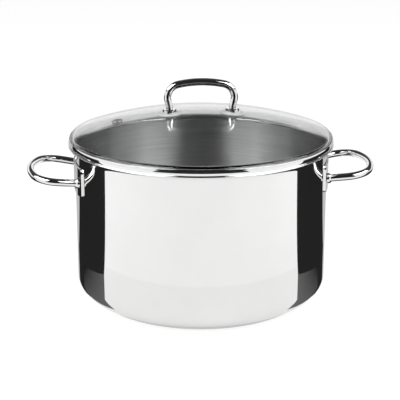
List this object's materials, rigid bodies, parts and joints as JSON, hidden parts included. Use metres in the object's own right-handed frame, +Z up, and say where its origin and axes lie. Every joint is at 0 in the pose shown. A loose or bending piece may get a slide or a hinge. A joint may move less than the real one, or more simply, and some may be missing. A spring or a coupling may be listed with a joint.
{
  "type": "stock pot",
  "caption": "Straight sided steel stock pot with a sandwich base, rod loop handles and a lift-off domed glass lid with a rod bow handle and steam vent.",
  "frame": {"origin": "centre of the base underside, on the surface the pot stands on", "axes": "+Z up along the pot's axis, X through the two side handles, Y from front to back"},
  "size_m": [0.3342, 0.2544, 0.2135],
  "materials": {
    "polished_steel": "mirror polished stainless steel outside, brushed inside",
    "brushed_base": "turned stainless steel",
    "aluminium_core": "rolled",
    "handle_steel": "mirror polished stainless steel",
    "tempered_glass": "clear, smooth",
    "silicone": "translucent grey, matt",
    "fastener_steel": "plain stainless steel"
  },
  "bodies": {
    "pot": {"pot_body": "polished_steel", "base_core_disc": "aluminium_core", "base_cap": "brushed_base", "handle_plate_left": "handle_steel", "handle_plate_right": "handle_steel", "handle_rod_left": "handle_steel", "handle_rod_right": "handle_steel"},
    "lid": {"lid_glass": "tempered_glass", "lid_rim_band": "polished_steel", "lid_rim_seal": "silicone", "vent_eyelet": "polished_steel", "vent_gasket": "silicone", "lid_handle_bow": "handle_steel", "lid_collar_left": "handle_steel", "lid_collar_right": "handle_steel", "lid_gasket_upper_left": "silicone", "lid_gasket_upper_right": "silicone", "lid_gasket_lower_left": "silicone", "lid_gasket_lower_right": "silicone", "lid_washers": "fastener_steel", "lid_screws": "fastener_steel"}
  },
  "joints": [
    {"name": "lid_lift", "type": "slide", "parent": "pot", "child": "lid", "axis": [0, 0, 1], "range_m": [0, 0.12]}
  ]
}
